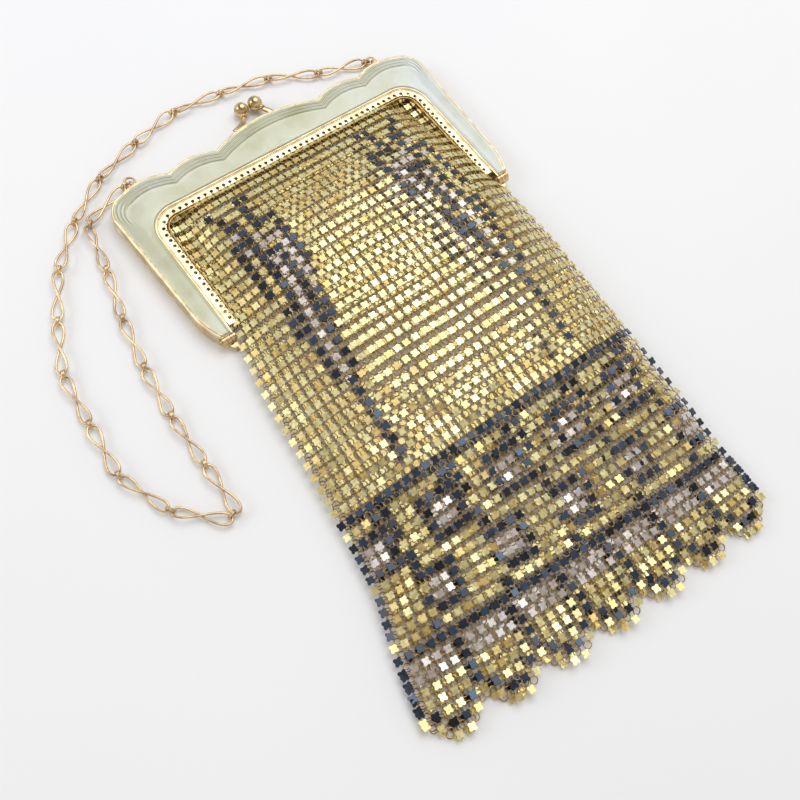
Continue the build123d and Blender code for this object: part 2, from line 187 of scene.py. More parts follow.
def new_material(name):
    material = bpy.data.materials.new(name)
    material.use_nodes = True
    nodes, links = material.node_tree.nodes, material.node_tree.links
    return material, nodes, links, nodes["Principled BSDF"]


def noise(nodes, scale, detail=4.0, roughness=0.55):
    node = nodes.new("ShaderNodeTexNoise")
    node.inputs["Scale"].default_value = scale
    node.inputs["Detail"].default_value = detail
    node.inputs["Roughness"].default_value = roughness
    return node


def object_coordinates(nodes, links, *textures):
    place = nodes.new("ShaderNodeTexCoord")
    for texture in textures:
        links.new(place.outputs["Object"], texture.inputs["Vector"])


def ramp(nodes, links, source, stops):
    """A colour ramp over a factor output: stops are (position, colour)."""
    node = nodes.new("ShaderNodeValToRGB")
    elements = node.color_ramp.elements
    while len(elements) < len(stops):
        elements.new(0.5)
    for element, (position, colour) in zip(elements, stops):
        element.position = position
        element.color = (*colour, 1)
    links.new(source, node.inputs["Fac"])
    return node


def spread(nodes, links, source, low, high):
    """Maps a 0 to 1 output to the range low to high."""
    node = nodes.new("ShaderNodeMapRange")
    node.inputs["To Min"].default_value = low
    node.inputs["To Max"].default_value = high
    links.new(source, node.inputs["Value"])
    return node


def bump(nodes, links, source, shader, strength, distance=0.0001):
    node = nodes.new("ShaderNodeBump")
    node.inputs["Strength"].default_value = strength
    node.inputs["Distance"].default_value = distance
    links.new(source, node.inputs["Height"])
    links.new(node.outputs["Normal"], shader.inputs["Normal"])
    return node


def mixed(nodes, links, factor, first, second, blend="MIX"):
    node = nodes.new("ShaderNodeMix")
    node.data_type = "RGBA"
    node.blend_type = blend
    for name, value in (("Factor", factor), ("A", first), ("B", second)):
        socket = node.inputs[name]
        if hasattr(value, "is_output"):
            links.new(value, socket)
        elif isinstance(value, tuple):
            socket.default_value = (*value, 1)
        else:
            socket.default_value = value
    return node.outputs["Result"]


def plate_material(name, stops, roughness, metallic, coat=0.0):
    """Lacquered metal plates: each has its own tint, with fine wear and brushing in its surface."""
    material, nodes, links, shader = new_material(name)
    geometry = nodes.new("ShaderNodeNewGeometry")
    tint = ramp(nodes, links, geometry.outputs["Random Per Island"], stops)
    blotch, grain = noise(nodes, 900), noise(nodes, 5200, 2)
    object_coordinates(nodes, links, blotch, grain)
    worn = ramp(nodes, links, blotch.outputs["Fac"], [(0.30, (0.62, 0.58, 0.50)), (0.55, (1, 1, 1))])
    colour = mixed(nodes, links, 0.75, tint.outputs["Color"], worn.outputs["Color"], "MULTIPLY")
    links.new(colour, shader.inputs["Base Color"])
    shader.inputs["Metallic"].default_value = metallic
    shader.inputs["Coat Weight"].default_value = coat
    shader.inputs["Coat Roughness"].default_value = 0.12
    rough = spread(nodes, links, blotch.outputs["Fac"], roughness - 0.1, roughness + 0.14)
    links.new(rough.outputs["Result"], shader.inputs["Roughness"])
    bump(nodes, links, grain.outputs["Fac"], shader, 0.25, 0.00005)
    return material


def metal_material(name, bright, dark, roughness, wear_scale=500, grain_strength=0.2):
    """Gilt wire or sheet with darker tarnish in patches."""
    material, nodes, links, shader = new_material(name)
    patch, grain = noise(nodes, wear_scale, 5), noise(nodes, 6000, 2)
    object_coordinates(nodes, links, patch, grain)
    colour = ramp(nodes, links, patch.outputs["Fac"], [(0.32, dark), (0.58, bright)])
    links.new(colour.outputs["Color"], shader.inputs["Base Color"])
    shader.inputs["Metallic"].default_value = 1
    rough = spread(nodes, links, patch.outputs["Fac"], roughness + 0.15, roughness - 0.08)
    links.new(rough.outputs["Result"], shader.inputs["Roughness"])
    bump(nodes, links, grain.outputs["Fac"], shader, grain_strength, 0.00005)
    return material


def enamel_material(name):
    """Pearly cream enamel that has worn through to gilt where the "edge" attribute is high."""
    material, nodes, links, shader = new_material(name)
    cloud, streak, chip = noise(nodes, 28, 3), noise(nodes, 130, 5), noise(nodes, 420, 6, 0.7)
    object_coordinates(nodes, links, cloud, streak, chip)
    pearl = ramp(nodes, links, cloud.outputs["Fac"],
                 [(0.30, (0.40, 0.41, 0.27)), (0.50, (0.52, 0.53, 0.42)), (0.70, (0.54, 0.58, 0.57))])
    stain = ramp(nodes, links, streak.outputs["Fac"], [(0.28, (0.70, 0.68, 0.55)), (0.5, (1, 1, 1))])
    body = mixed(nodes, links, 0.6, pearl.outputs["Color"], stain.outputs["Color"], "MULTIPLY")
    edge = nodes.new("ShaderNodeAttribute")
    edge.attribute_name = "edge"
    reach = nodes.new("ShaderNodeMath")
    reach.operation = "MULTIPLY_ADD"
    links.new(chip.outputs["Fac"], reach.inputs[0])
    reach.inputs[1].default_value = 1.1
    links.new(edge.outputs["Fac"], reach.inputs[2])
    bare_scaled = nodes.new("ShaderNodeMath")
    bare_scaled.operation = "SUBTRACT"
    bare_scaled.use_clamp = True
    links.new(reach.outputs["Value"], bare_scaled.inputs[0])
    bare_scaled.inputs[1].default_value = 1.0
    sharp = nodes.new("ShaderNodeMath")
    sharp.operation = "MULTIPLY"
    sharp.use_clamp = True
    links.new(bare_scaled.outputs["Value"], sharp.inputs[0])
    sharp.inputs[1].default_value = 9.0
    bare_gilt = (0.78, 0.55, 0.30)
    metallic = spread(nodes, links, sharp.outputs["Value"], 0.25, 1.0)
    rough = spread(nodes, links, streak.outputs["Fac"], 0.22, 0.42)
    links.new(mixed(nodes, links, sharp.outputs["Value"], body, bare_gilt), shader.inputs["Base Color"])
    links.new(metallic.outputs["Result"], shader.inputs["Metallic"])
    links.new(rough.outputs["Result"], shader.inputs["Roughness"])
    shader.inputs["Coat Weight"].default_value = 0.35
    shader.inputs["Coat Roughness"].default_value = 0.15
    bump(nodes, links, chip.outputs["Fac"], shader, 0.18, 0.0001)
    return material


GOLD_PLATE = plate_material("gold_plate", [
    (0.0, (0.80, 0.62, 0.25)), (0.35, (0.88, 0.80, 0.42)),
    (0.7, (0.90, 0.86, 0.50)), (1.0, (0.86, 0.66, 0.28))],
    0.36, 1.0)
LILAC_PLATE = plate_material("lilac_plate", [
    (0.0, (0.66, 0.60, 0.58)), (0.5, (0.76, 0.71, 0.68)), (1.0, (0.70, 0.66, 0.70))], 0.34, 0.85)
BLUE_PLATE = plate_material("blue_plate", [
    (0.0, (0.006, 0.009, 0.018)), (0.5, (0.014, 0.026, 0.058)), (1.0, (0.04, 0.075, 0.14))],
    0.30, 0.55, 0.5)
RING_GOLD = metal_material("ring_gold", (0.54, 0.35, 0.11), (0.24, 0.14, 0.05), 0.26, 700)
RIM_GILT = metal_material("rim_gilt", (0.84, 0.76, 0.54), (0.60, 0.48, 0.28), 0.32, 300)
CHAIN_GILT = metal_material("chain_gilt", (0.82, 0.62, 0.36), (0.46, 0.32, 0.20), 0.28, 260)
SHELL_GILT = metal_material("shell_gilt", (0.84, 0.62, 0.36), (0.52, 0.36, 0.20), 0.32, 240)
KNOB_GILT = metal_material("knob_gilt", (0.80, 0.62, 0.34), (0.36, 0.26, 0.14), 0.16, 420, 0.08)
ENAMEL = enamel_material("pearl_enamel")


# ---------------------------------------------------------------- the mesh bag's surface

COLUMNS, ROWS = 35, 47              # from fold to fold, and from the rim to the tips of the fringe
BORDER_ROW, HEM_ROW = 28, 40        # dark rows above the border and above the fringe
TOOTH_COLUMNS = 5
# Along the rows: (row, millimetres).
ROW_Y = [(0, -7.2), (13, -55.2), (28, -113.8), (40, -155), (47, -177)]
LEFT_EDGE = [(0, -46), (11, -47), (13, -49.5), (18, -53), (24, -55.5), (28, -57.5), (34, -60.5),
             (40, -66.5), (43, -69), (47, -71.7)]
RIGHT_EDGE = [(0, 46), (11, 47), (13, 49), (18, 49.5), (24, 48.3), (28, 47.2), (34, 45.8),
              (40, 44), (43, 43.8), (47, 42.6)]
TOP_HEIGHT = [(0, 4.3), (3, 8), (8, 12.8), (12, 13.9), (22, 14.2), (28, 12.2), (33, 8.6), (37, 6.2),
              (40, 4.5), (43, 3.0), (47, 2.3)]
EDGE_HEIGHT = [(0, 4.3), (11, 4.3), (16, 3.4), (35, 2.5), (40, 2.0), (47, 1.7)]
ROW_TURN = [(0, 0), (28, 1.0), (40, 5), (47, 5)]         # degrees
ROW_BOW = [(0, 0), (13, 0.3), (28, 1.2), (40, 1.8), (47, 2.0)]    # how far the middle hangs below the ends
BACK_HEIGHT = 0.95                  # the back sheet above the table
LOWEST = 1.6                        # the front sheet never comes nearer the table
GATHER_ROW, GATHER_ROWS, GATHER_DEPTH = 2.5, 4.5, 2.4     # the mesh dips inside the rim's corners
PLATE_LIFT, FRONT_RING_LIFT, BACK_RING_LIFT = 0.35, 0.05, -0.2


def wrinkles(x, y, row):
    """Soft folds of the slack mesh, stronger in its lower part."""
    calm = smooth_through(
        row, [(0, 0.0), (5, 0.10), (20, 0.16), (28, 0.50), (35, 0.80), (40, 0.30), (47, 0.05)])
    waves = (np.sin(0.21 * x + 0.10 * y + 1.0) + 0.8 * np.sin(0.33 * x - 0.27 * y + 0.4)
             + 0.6 * np.sin(0.52 * x + 0.41 * y + 2.1) + 0.5 * np.sin(0.11 * x - 0.55 * y))
    return calm * waves


def bunched(column, row):
    """Columns gather a little towards the left above the border, and spread in the middle of the fringe."""
    gather = smooth_through(row, [(0, 0.95), (13, 0.95), (28, 0.3), (40, 0.0), (47, 0.0)])
    spread_out = smooth_through(row, [(0, 0.0), (40, 0.0), (43, 0.9), (47, 0.9)])
    return (column - gather * np.sin(math.pi * np.minimum(column / 26, 1))
            + spread_out * np.sin(math.pi * column / COLUMNS))


def front_section(row, steps=240):
    """Points across the front of the bag at one row, from the left fold to the right fold."""
    y, left, right, top, edge, turn, bow = (
        float(smooth_through(row, table))
        for table in (ROW_Y, LEFT_EDGE, RIGHT_EDGE, TOP_HEIGHT, EDGE_HEIGHT, ROW_TURN, ROW_BOW))
    across = np.sin(np.linspace(-1, 1, steps) * math.pi / 2)
    swell = np.where(across < 0, 1 - np.abs(across) ** 2.2, 1 - np.abs(across) ** 4.5)
    x = (left + right) / 2 + across * (right - left) / 2
    y = y - math.tan(math.radians(turn)) * x - bow * (0.6 - across**2)
    z = edge + (top - edge) * swell
    gathered = math.exp(-((row - GATHER_ROW) / GATHER_ROWS) ** 2)
    z = z - GATHER_DEPTH * gathered * np.exp(-((1 - np.abs(across)) / 0.10 - 0.9) ** 2)
    z = z + wrinkles(x, y, row) * np.clip((1 - np.abs(across)) / 0.12, 0, 1)
    return np.stack([x, y, np.maximum(z, LOWEST)], 1)


def front_surface(column, row):
    """Points on the front sheet: columns are spaced evenly along each section's own length."""
    column, row = np.broadcast_arrays(np.asarray(column, float), np.asarray(row, float))
    out = np.empty(column.shape + (3,))
    for value in np.unique(row):
        here = row == value
        section = front_section(value)
        length = np.concatenate([[0], np.cumsum(np.linalg.norm(np.diff(section, axis=0), axis=1))])
        share = bunched(column[here], value) / COLUMNS * length[-1]
        out[here] = np.stack([np.interp(share, length, section[:, k]) for k in range(3)], -1)
    return out


def back_surface(column, row):
    """Points on the back sheet: the same outline, lying on the table."""
    column, row = np.broadcast_arrays(np.asarray(column, float), np.asarray(row, float))
    left, right = smooth_through(row, LEFT_EDGE), smooth_through(row, RIGHT_EDGE)
    share = column / COLUMNS
    x = left + share * (right - left)
    y = smooth_through(row, ROW_Y) - np.tan(np.radians(smooth_through(row, ROW_TURN))) * x
    curl = np.clip((np.abs(share - 0.5) - 0.46) / 0.04, 0, 1) ** 2
    rise = np.where(row < 12, 0.2, 1.2)
    return np.stack([x, y, BACK_HEIGHT + curl * rise], -1)


def placed(surface, column, row, lift, tilt, spin):
    """Places and axes of small pieces on a sheet, each tipped and turned by its own small amount."""
    step = 0.3
    here = surface(column, row)
    along = unit(surface(column + step, row) - surface(column - step, row))
    down = surface(column, row + step) - surface(column, row - step)
    normal = unit(np.cross(down, along))
    count = len(column)
    tip = np.radians(random.normal(0, tilt, (2, count)))
    normal = unit(normal + tip[0][:, None] * along + tip[1][:, None] * unit(down))
    turn = np.radians(random.normal(0, spin, count))[:, None]
    along = unit(along - np.sum(along * normal, 1)[:, None] * normal)
    beside = np.cross(normal, along)
    along, beside = along * np.cos(turn) + beside * np.sin(turn), beside * np.cos(turn) - along * np.sin(turn)
    return here + lift * normal, np.stack([along, beside, normal], 1)


# ---------------------------------------------------------------- the pattern in the plates

LEFT_AXIS, RIGHT_AXIS = 8, 27       # columns that the two pendants hang on
# A pendant's rows: (first row, last row, dark offsets, lilac offsets), counted towards the bag's middle.
PENDANT = [
    (2, 2, (-3, 1, 2), ()), (3, 3, (-2, 1), ()), (4, 4, (-2, -1, 1), ()), (5, 5, (-1, 1, 2, 3), (-2,)),
    (6, 6, (-3, -2, -1, 3), (0,)), (7, 7, (-3, -1, 3), (-2, 0, 1, 2)), (8, 8, (-3, -1, 0, 1, 3), (2,)),
    (9, 10, (-3, -1, 1, 3), (0, 2)), (11, 11, (-3, -1, 1), (0, 2)), (12, 12, (-1, 1), (0,)),
    (13, 15, (-2, -1, 1, 2), (0,)), (16, 19, (-1, 1), (0,)), (20, 26, (0,), ())]
# One repeat of the border, seven columns wide: rows of (dark columns, lilac columns).
BORDER = {
    29: ((3, 4), ()), 30: ((0, 1, 2, 3, 4), ()), 31: ((0, 3, 4), (1, 2)), 32: ((0, 3), (1, 2)),
    33: ((0, 1, 2, 3, 4), ()), 34: ((4,), ()), 35: ((4, 5, 6, 0), ()), 36: ((0,), (5, 6)),
    37: ((0, 4), (5, 6)), 38: ((0, 5, 6), ()), 39: ((4,), ())}
BORDER_REPEAT = 7
TOOTH_FULL_ROW = 45                 # the last row in which a tooth is as wide as its columns


def tooth_offset(column):
    """How far a column is from the middle of its tooth in the fringe."""
    return abs((column % TOOTH_COLUMNS) - TOOTH_COLUMNS / 2)


def tone(column, row):
    """gold, blue or lilac for the plate at a column and row of the front."""
    if row in (BORDER_ROW, HEM_ROW):
        return "blue"
    if row > HEM_ROW:
        offset = tooth_offset(column)
        if (offset == 2.5 and row < TOOTH_FULL_ROW) or (offset == 1.5 and row == TOOTH_FULL_ROW):
            return "blue"
        if offset == 0.5 and row == TOOTH_FULL_ROW + 1:
            return "blue"
        return "lilac" if row < HEM_ROW + 3 and offset < 2 else "gold"
    if row < BORDER_ROW:
        for axis, inwards in ((LEFT_AXIS, 1), (RIGHT_AXIS, -1)):
            offset = (column - axis) * inwards
            for first, last, dark, lilac in PENDANT:
                if first <= row <= last and offset in dark:
                    return "blue"
                if first <= row <= last and offset in lilac:
                    return "lilac"
        return "gold"
    dark, lilac = BORDER.get(row, ((), ()))
    place = column % BORDER_REPEAT
    return "blue" if place in dark else "lilac" if place in lilac else "gold"


def has_plate(column, row):
    """The fringe's teeth narrow by a column on each side in their last two rows."""
    offset = tooth_offset(column)
    return (row <= TOOTH_FULL_ROW or (row == TOOTH_FULL_ROW + 1 and offset < 2)
            or (row == TOOTH_FULL_ROW + 2 and offset < 1))


def has_ring(column, row):
    """Rings sit between four plates, and each tooth ends in one."""
    offset = tooth_offset(column)
    return (row < TOOTH_FULL_ROW or (row < TOOTH_FULL_ROW + 1 and offset < 2.2)
            or (row < TOOTH_FULL_ROW + 2 and offset < 1.2) or (row < TOOTH_FULL_ROW + 3 and offset < 0.2))


# ---------------------------------------------------------------- plates and rings

PLATE_NOTCH, PLATE_ARM = 0.86, 0.56    # radius at the four notches, and how much further the arms reach
CALM_TILT, SLACK_TILT = 1.8, 6.0       # degrees that plates tip by, above and below the border's top
RING_RADIUS, RING_WIRE = 1.04, 0.17


def plate(steps):
    """A stamped plate with a flat face, notched sides and four corner arms that curl down."""
    angle = np.linspace(0, 2 * math.pi, steps, endpoint=False)
    arm = np.abs(np.sin(2 * angle)) ** 1.5
    reach = PLATE_NOTCH + PLATE_ARM * arm
    levels = [(0.90, 0.16 + 0 * arm), (1.0, 0.04 - 0.10 * arm), (0.92, -0.14 - 0.16 * arm)]
    verts = [np.array([[0, 0, 0.16], [0, 0, -0.1]])]
    for share, height in levels:
        verts.append(np.stack([share * reach * np.cos(angle), share * reach * np.sin(angle), height], 1))
    side = np.arange(steps)
    beside = (side + 1) % steps
    quads = [np.stack([2 + k * steps + side, 2 + (k + 1) * steps + side, 2 + (k + 1) * steps + beside,
                       2 + k * steps + beside], 1) for k in range(len(levels) - 1)]
    last = 2 + (len(levels) - 1) * steps
    caps = [np.stack([0 * side, 2 + side, 2 + beside], 1),
            np.stack([0 * side + 1, last + beside, last + side], 1)]
    return np.concatenate(verts), [np.concatenate(quads), np.concatenate(caps)]


def plate_field(name, surface, cells, steps, lift, body_call, replaced):
    """Plates of one region, one piece for each colour."""
    shape = plate(steps)
    materials = {"gold": GOLD_PLATE, "blue": BLUE_PLATE, "lilac": LILAC_PLATE}
    for colour, material in materials.items():
        chosen = np.array([cell for cell in cells if tone(*cell) == colour], float)
        if not len(chosen):
            continue
        column, row = chosen.T
        tilt = np.where(row < BORDER_ROW, CALM_TILT, SLACK_TILT)
        places, bases = placed(surface, column, row, lift, tilt, 3.0)
        piece = as_piece(f"{name}_{colour}", *stamped(*shape, places, bases), material, smooth=False)
        body_call(piece)
        if colour == "gold" and replaced:
            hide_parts(*replaced)


def ring_field(name, surface, cells, lift, body_call):
    column, row = np.array(cells, float).T
    places, bases = placed(surface, column, row, lift, 7.0, 20.0)
    shape = wire_ring(RING_RADIUS, RING_WIRE, 12, 5)
    piece = as_piece(name, *stamped(*shape, places, bases), RING_GOLD)
    body_call(piece)
    return piece


SPLIT_ROW = 16                      # the front sheet's rows down to this one are built as pieces of their own, attached to neither frame half


def on_back(piece):
    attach(piece, "back_frame")


def across_hinge(piece):
    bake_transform(piece)


def build_mesh_bag():
    front = [(c, r) for r in range(ROWS + 1) for c in range(COLUMNS + 1) if has_plate(c, r)]
    back = [(c, r) for c, r in front if 0 < c < COLUMNS or r > HEM_ROW]
    corners = [(c + 0.5, r + 0.5) for r in range(ROWS + 1) for c in range(COLUMNS)]
    links = [corner for corner in corners if has_ring(*corner)]

    def between(cells, first, last):
        """The cells from one row to another, both included."""
        return [cell for cell in cells if first <= cell[1] <= last]

    below_split, below_hem = SPLIT_ROW + 1, HEM_ROW + 1
    for name, first, last, body_call, node in (
            ("front_upper_plates", 0, SPLIT_ROW, across_hinge, "mesh_front_upper"),
            ("front_lower_plates", below_split, HEM_ROW, on_back, "mesh_pouch"),
            ("front_fringe_plates", below_hem, ROWS, on_back, "fringe_front")):
        plate_field(name, front_surface, between(front, first, last), 24, PLATE_LIFT, body_call, [node])
    for name, first, last, node in (
            ("back_plates", 0, HEM_ROW, "mesh_back_upper"),
            ("back_fringe_plates", below_hem, ROWS, "fringe_back")):
        plate_field(name, back_surface, between(back, first, last), 16, 0.0, on_back, [node])

    upper, lower = between(links, 0, SPLIT_ROW), between(links, SPLIT_ROW, HEM_ROW)
    fringe, above_fringe = between(links, HEM_ROW, ROWS + 1), between(links, 0, HEM_ROW)
    ring_field("front_upper_links", front_surface, upper, FRONT_RING_LIFT, across_hinge)
    ring_field("front_lower_links", front_surface, lower, FRONT_RING_LIFT, on_back)
    front_fringe = ring_field("front_fringe_links", front_surface, fringe, FRONT_RING_LIFT, on_back)
    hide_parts("fringe_drops_front", "seam_rings")
    ring_field("back_links", back_surface, above_fringe, BACK_RING_LIFT, on_back)
    back_fringe = ring_field("back_fringe_links", back_surface, fringe, BACK_RING_LIFT, on_back)
    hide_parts("fringe_drops_back")


build_mesh_bag()


# ---------------------------------------------------------------- the frame's faces, beads and lacing

HALF_WIDTH, ARM_TAPER, ARM_LENGTH = 57.5, 1.5, 41.0
TIP = (50.8, -53.0)
ARCH_HALF, ARCH_TOP, CUSP_Y, SCALLOP_RISE = 19.0, 10.0, 6.0, 1.9
SHOULDER = (52.0, 7.0)
SEAT_HALF, SEAT_TOP, SEAT_CORNER = 49.5, -4.0, 8.0
HINGE_Y, MIDDLE_Z, FACE_Z = -49.5, 2.5, 5.0
RIM_WIDTH, RIM_DEPTH, RIM_END_Y = 2.8, 0.25, -47.0
HOLE_PITCH = 2.2
LACING_RING, LACING_WIRE, LACING_DEPTH = 0.72, 0.15, 0.63    # radius, wire, and centre below the rim's face
EDGE_WIRE, CLOSING_WIRE, BEAD_WIRE = 0.42, 0.36, 0.2
RIDGES = (2.0, 3.2, 4.4)            # distances of the ridges from the scalloped edge


def arc(start, middle, end, steps):
    """Points along the circle through three points, without the last."""
    (ax, ay), (bx, by), (cx, cy) = start, middle, end
    d = 2 * (ax * (by - cy) + bx * (cy - ay) + cx * (ay - by))
    a2, b2, c2 = ax * ax + ay * ay, bx * bx + by * by, cx * cx + cy * cy
    x = (a2 * (by - cy) + b2 * (cy - ay) + c2 * (ay - by)) / d
    y = (a2 * (cx - bx) + b2 * (ax - cx) + c2 * (bx - ax)) / d
    radius = math.hypot(ax - x, ay - y)
    first, mid, last = (math.atan2(py - y, px - x) for px, py in (start, middle, end))
    turn = (last - first) % (2 * math.pi)
    if (mid - first) % (2 * math.pi) > turn:
        turn -= 2 * math.pi
    angle = first + np.linspace(0, turn, steps, endpoint=False)
    return np.stack([x + radius * np.cos(angle), y + radius * np.sin(angle)], 1)


def straight(start, end, steps):
    return np.linspace(start, end, steps, endpoint=False)


def outer_line():
    """Half the frame's outer edge, from the middle of the arch to an arm's tip."""
    foot = (ARCH_HALF, CUSP_Y)
    cusp = ((ARCH_HALF + SHOULDER[0]) / 2, (CUSP_Y + SHOULDER[1]) / 2)
    arch_radius = (ARCH_HALF**2 + (ARCH_TOP - CUSP_Y) ** 2) / (2 * (ARCH_TOP - CUSP_Y))
    half_way = ARCH_HALF / 2
    arch_middle = (half_way, ARCH_TOP - arch_radius + math.sqrt(arch_radius**2 - half_way**2))

    def raised(a, b):
        return (a[0] + b[0]) / 2, (a[1] + b[1]) / 2 + SCALLOP_RISE

    arm_end = (HALF_WIDTH - ARM_TAPER, -ARM_LENGTH)
    return np.concatenate([
        arc((0, ARCH_TOP), arch_middle, foot, 26), arc(foot, raised(foot, cusp), cusp, 22),
        arc(cusp, raised(cusp, SHOULDER), SHOULDER, 22),
        arc(SHOULDER, (HALF_WIDTH - 1.5, SHOULDER[1] - 2.4), (HALF_WIDTH, 0), 14),
        straight((HALF_WIDTH, 0), arm_end, 40),
        arc(arm_end, (HALF_WIDTH - ARM_TAPER - 1.6, (TIP[1] - ARM_LENGTH) / 2), TIP, 12), [TIP]])


def opposite(outer):
    """The point of the inner edge that faces each point of the outer edge."""
    centre = np.array([SEAT_HALF - SEAT_CORNER, SEAT_TOP - SEAT_CORNER])
    length = np.concatenate([[0], np.cumsum(np.linalg.norm(np.diff(outer, axis=0), axis=1))])
    begins = np.interp(centre[0], outer[:, 0][: len(outer) // 2], length[: len(outer) // 2])
    below = np.argmax(outer[:, 1] < centre[1])
    ends = length[below]
    turn = np.clip((length - begins) / (ends - begins), 0, 1) * math.pi / 2
    corner = centre + SEAT_CORNER * np.stack([np.sin(turn), np.cos(turn)], 1)
    level = np.stack([outer[:, 0], np.full(len(outer), SEAT_TOP)], 1)
    inner = np.where((length < begins)[:, None], level, corner)
    side = np.stack([np.full(len(outer), SEAT_HALF), outer[:, 1]], 1)
    return np.where((length > ends)[:, None], side, inner)


def both_halves(points):
    """A half line from the middle to an arm's tip, as the whole line from tip to tip."""
    left = points[:0:-1] * np.array([-1] + [1] * (points.shape[1] - 1))
    return np.concatenate([left, points])


def relief(distance, from_inner, wave):
    """Height of the enamelled face: rolled edge, three ridges along the scallops, and a crowned field."""
    rolled = 0.10 * np.exp(-((distance - 0.9) / 0.35) ** 2)
    ridges = sum(np.exp(-((distance - crest) / 0.33) ** 2) for crest in RIDGES)
    step = 0.22 / (1 + np.exp((distance - 5.2) * 3.0))
    field = 0.22 * np.clip(distance / 6, 0, 1) * np.clip(from_inner / 3, 0, 1)
    lip = 0.16 * np.exp(-((from_inner - 0.75) / 0.3) ** 2)
    return 0.12 + rolled + wave * (0.34 * ridges + step) + field + lip


BACK_RELIEF = 0.1                   # the back half's face is nearly flat, because the bag lies on it


def enamel_face(name, body, lower_y, upward):
    """The enamelled relief over a frame half's outer face."""
    outer = outer_line()
    inner = opposite(outer)
    keep = outer[:, 1] >= lower_y
    outer, inner = outer[keep], inner[keep]
    width = np.linalg.norm(inner - outer, axis=1)
    start, stop = 0.55, 0.45
    bands = np.concatenate([np.linspace(0, 5.6, 36), np.linspace(5.6, 7.2, 5)[1:]])
    along = np.arange(len(outer))
    wave = np.clip((86 - along) / 14, 0, 1)
    room = width - start - stop
    share = bands[None, :] / bands[-1]
    distance = start + share * room[:, None]
    fixed = start + np.minimum(bands[None, :], room[:, None] * 0.8)
    blend = np.clip(room[:, None] / 9.0, 0, 1)
    distance = np.where(bands[None, :] <= 5.6, blend * fixed + (1 - blend) * distance, distance)
    distance = np.maximum.accumulate(distance, axis=1)
    distance[:, -1] = start + room
    plan = outer[:, None, :] + (inner - outer)[:, None, :] * (distance / width[:, None])[..., None]
    height = relief(distance, width[:, None] - distance, wave[:, None]) * (1 if upward else BACK_RELIEF)
    height[:, [0, -1]] = 0.0
    edge = np.clip(0.62 - 0.55 * (distance - start), 0, 1) + 0.10 * wave[:, None]
    low = np.clip((-30 - plan[..., 1]) / 20, 0, 1) * 0.10
    top = np.concatenate([plan, height[..., None], (edge + low)[..., None]], -1)
    top = np.concatenate([top[:0:-1] * np.array([-1, 1, 1, 1]), top])
    bottom = top.copy()
    bottom[..., 2] = -0.05
    rows, columns = top.shape[:2]
    verts = np.concatenate([top.reshape(-1, 4), bottom.reshape(-1, 4)])
    index = np.arange(rows * columns).reshape(rows, columns)
    quads = np.stack([index[:-1, :-1], index[:-1, 1:], index[1:, 1:], index[1:, :-1]], -1).reshape(-1, 4)
    under = quads[:, ::-1] + rows * columns
    border = np.concatenate([index[0, :-1], index[:-1, -1], index[-1, :0:-1], index[:0:-1, 0]])
    after = np.roll(border, -1)
    wall = np.stack([after, border, border + rows * columns, after + rows * columns], 1)
    z = FACE_Z + verts[:, 2] if upward else -verts[:, 2] + 2 * MIDDLE_Z - FACE_Z
    faces = np.concatenate([quads, under, wall])
    if not upward:
        faces = faces[:, ::-1]
    piece = as_piece(name, np.stack([verts[:, 0], verts[:, 1], z], 1), [faces[:, ::-1]], ENAMEL)
    attribute = piece.data.attributes.new("edge", "FLOAT", "POINT")
    attribute.data.foreach_set("value", verts[:, 3].astype(np.float32))
    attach(piece, body)


def at_height(line, z):
    return np.concatenate([line, np.full((len(line), 1), z)], 1)


def seat_line(inset, steps=14):
    """The rim seat's outline from the middle of its top to its lower end, inset towards the mesh."""
    centre = np.array([SEAT_HALF - SEAT_CORNER, SEAT_TOP - SEAT_CORNER])
    radius = SEAT_CORNER - inset
    turn = np.linspace(0, math.pi / 2, steps)
    corner = centre + radius * np.stack([np.sin(turn), np.cos(turn)], 1)
    top = straight((0, SEAT_TOP - inset), corner[0], 24)
    side = np.linspace(corner[-1], (SEAT_HALF - inset, RIM_END_Y), 24)[1:]
    return np.concatenate([top, corner, side])


def add_wire(name, line, z, radius, body):
    piece = as_piece(name, *tube(at_height(both_halves(line), z), radius, 10), RIM_GILT)
    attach(piece, body)


def lacing_rings(name, body, z):
    """Small rings that hang the mesh from the rim's inner edge."""
    line = both_halves(seat_line(RIM_WIDTH))
    length = np.concatenate([[0], np.cumsum(np.linalg.norm(np.diff(line, axis=0), axis=1))])
    count = round(length[-1] / HOLE_PITCH)

    def points_at(share):
        at = (np.arange(count) + share) * length[-1] / count
        return np.stack([np.interp(at, length, line[:, k]) for k in (0, 1)], 1)

    spots = points_at(0.5)
    along = unit(at_height(points_at(0.9) - spots, 0.0))
    up = np.broadcast_to((0.0, 0.0, 1.0), along.shape)
    bases = np.stack([np.cross(up, along), up, along], 1)
    shape = wire_ring(LACING_RING, LACING_WIRE, 12, 6)
    piece = as_piece(name, *stamped(*shape, at_height(spots, z), bases), RING_GOLD)
    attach(piece, body)


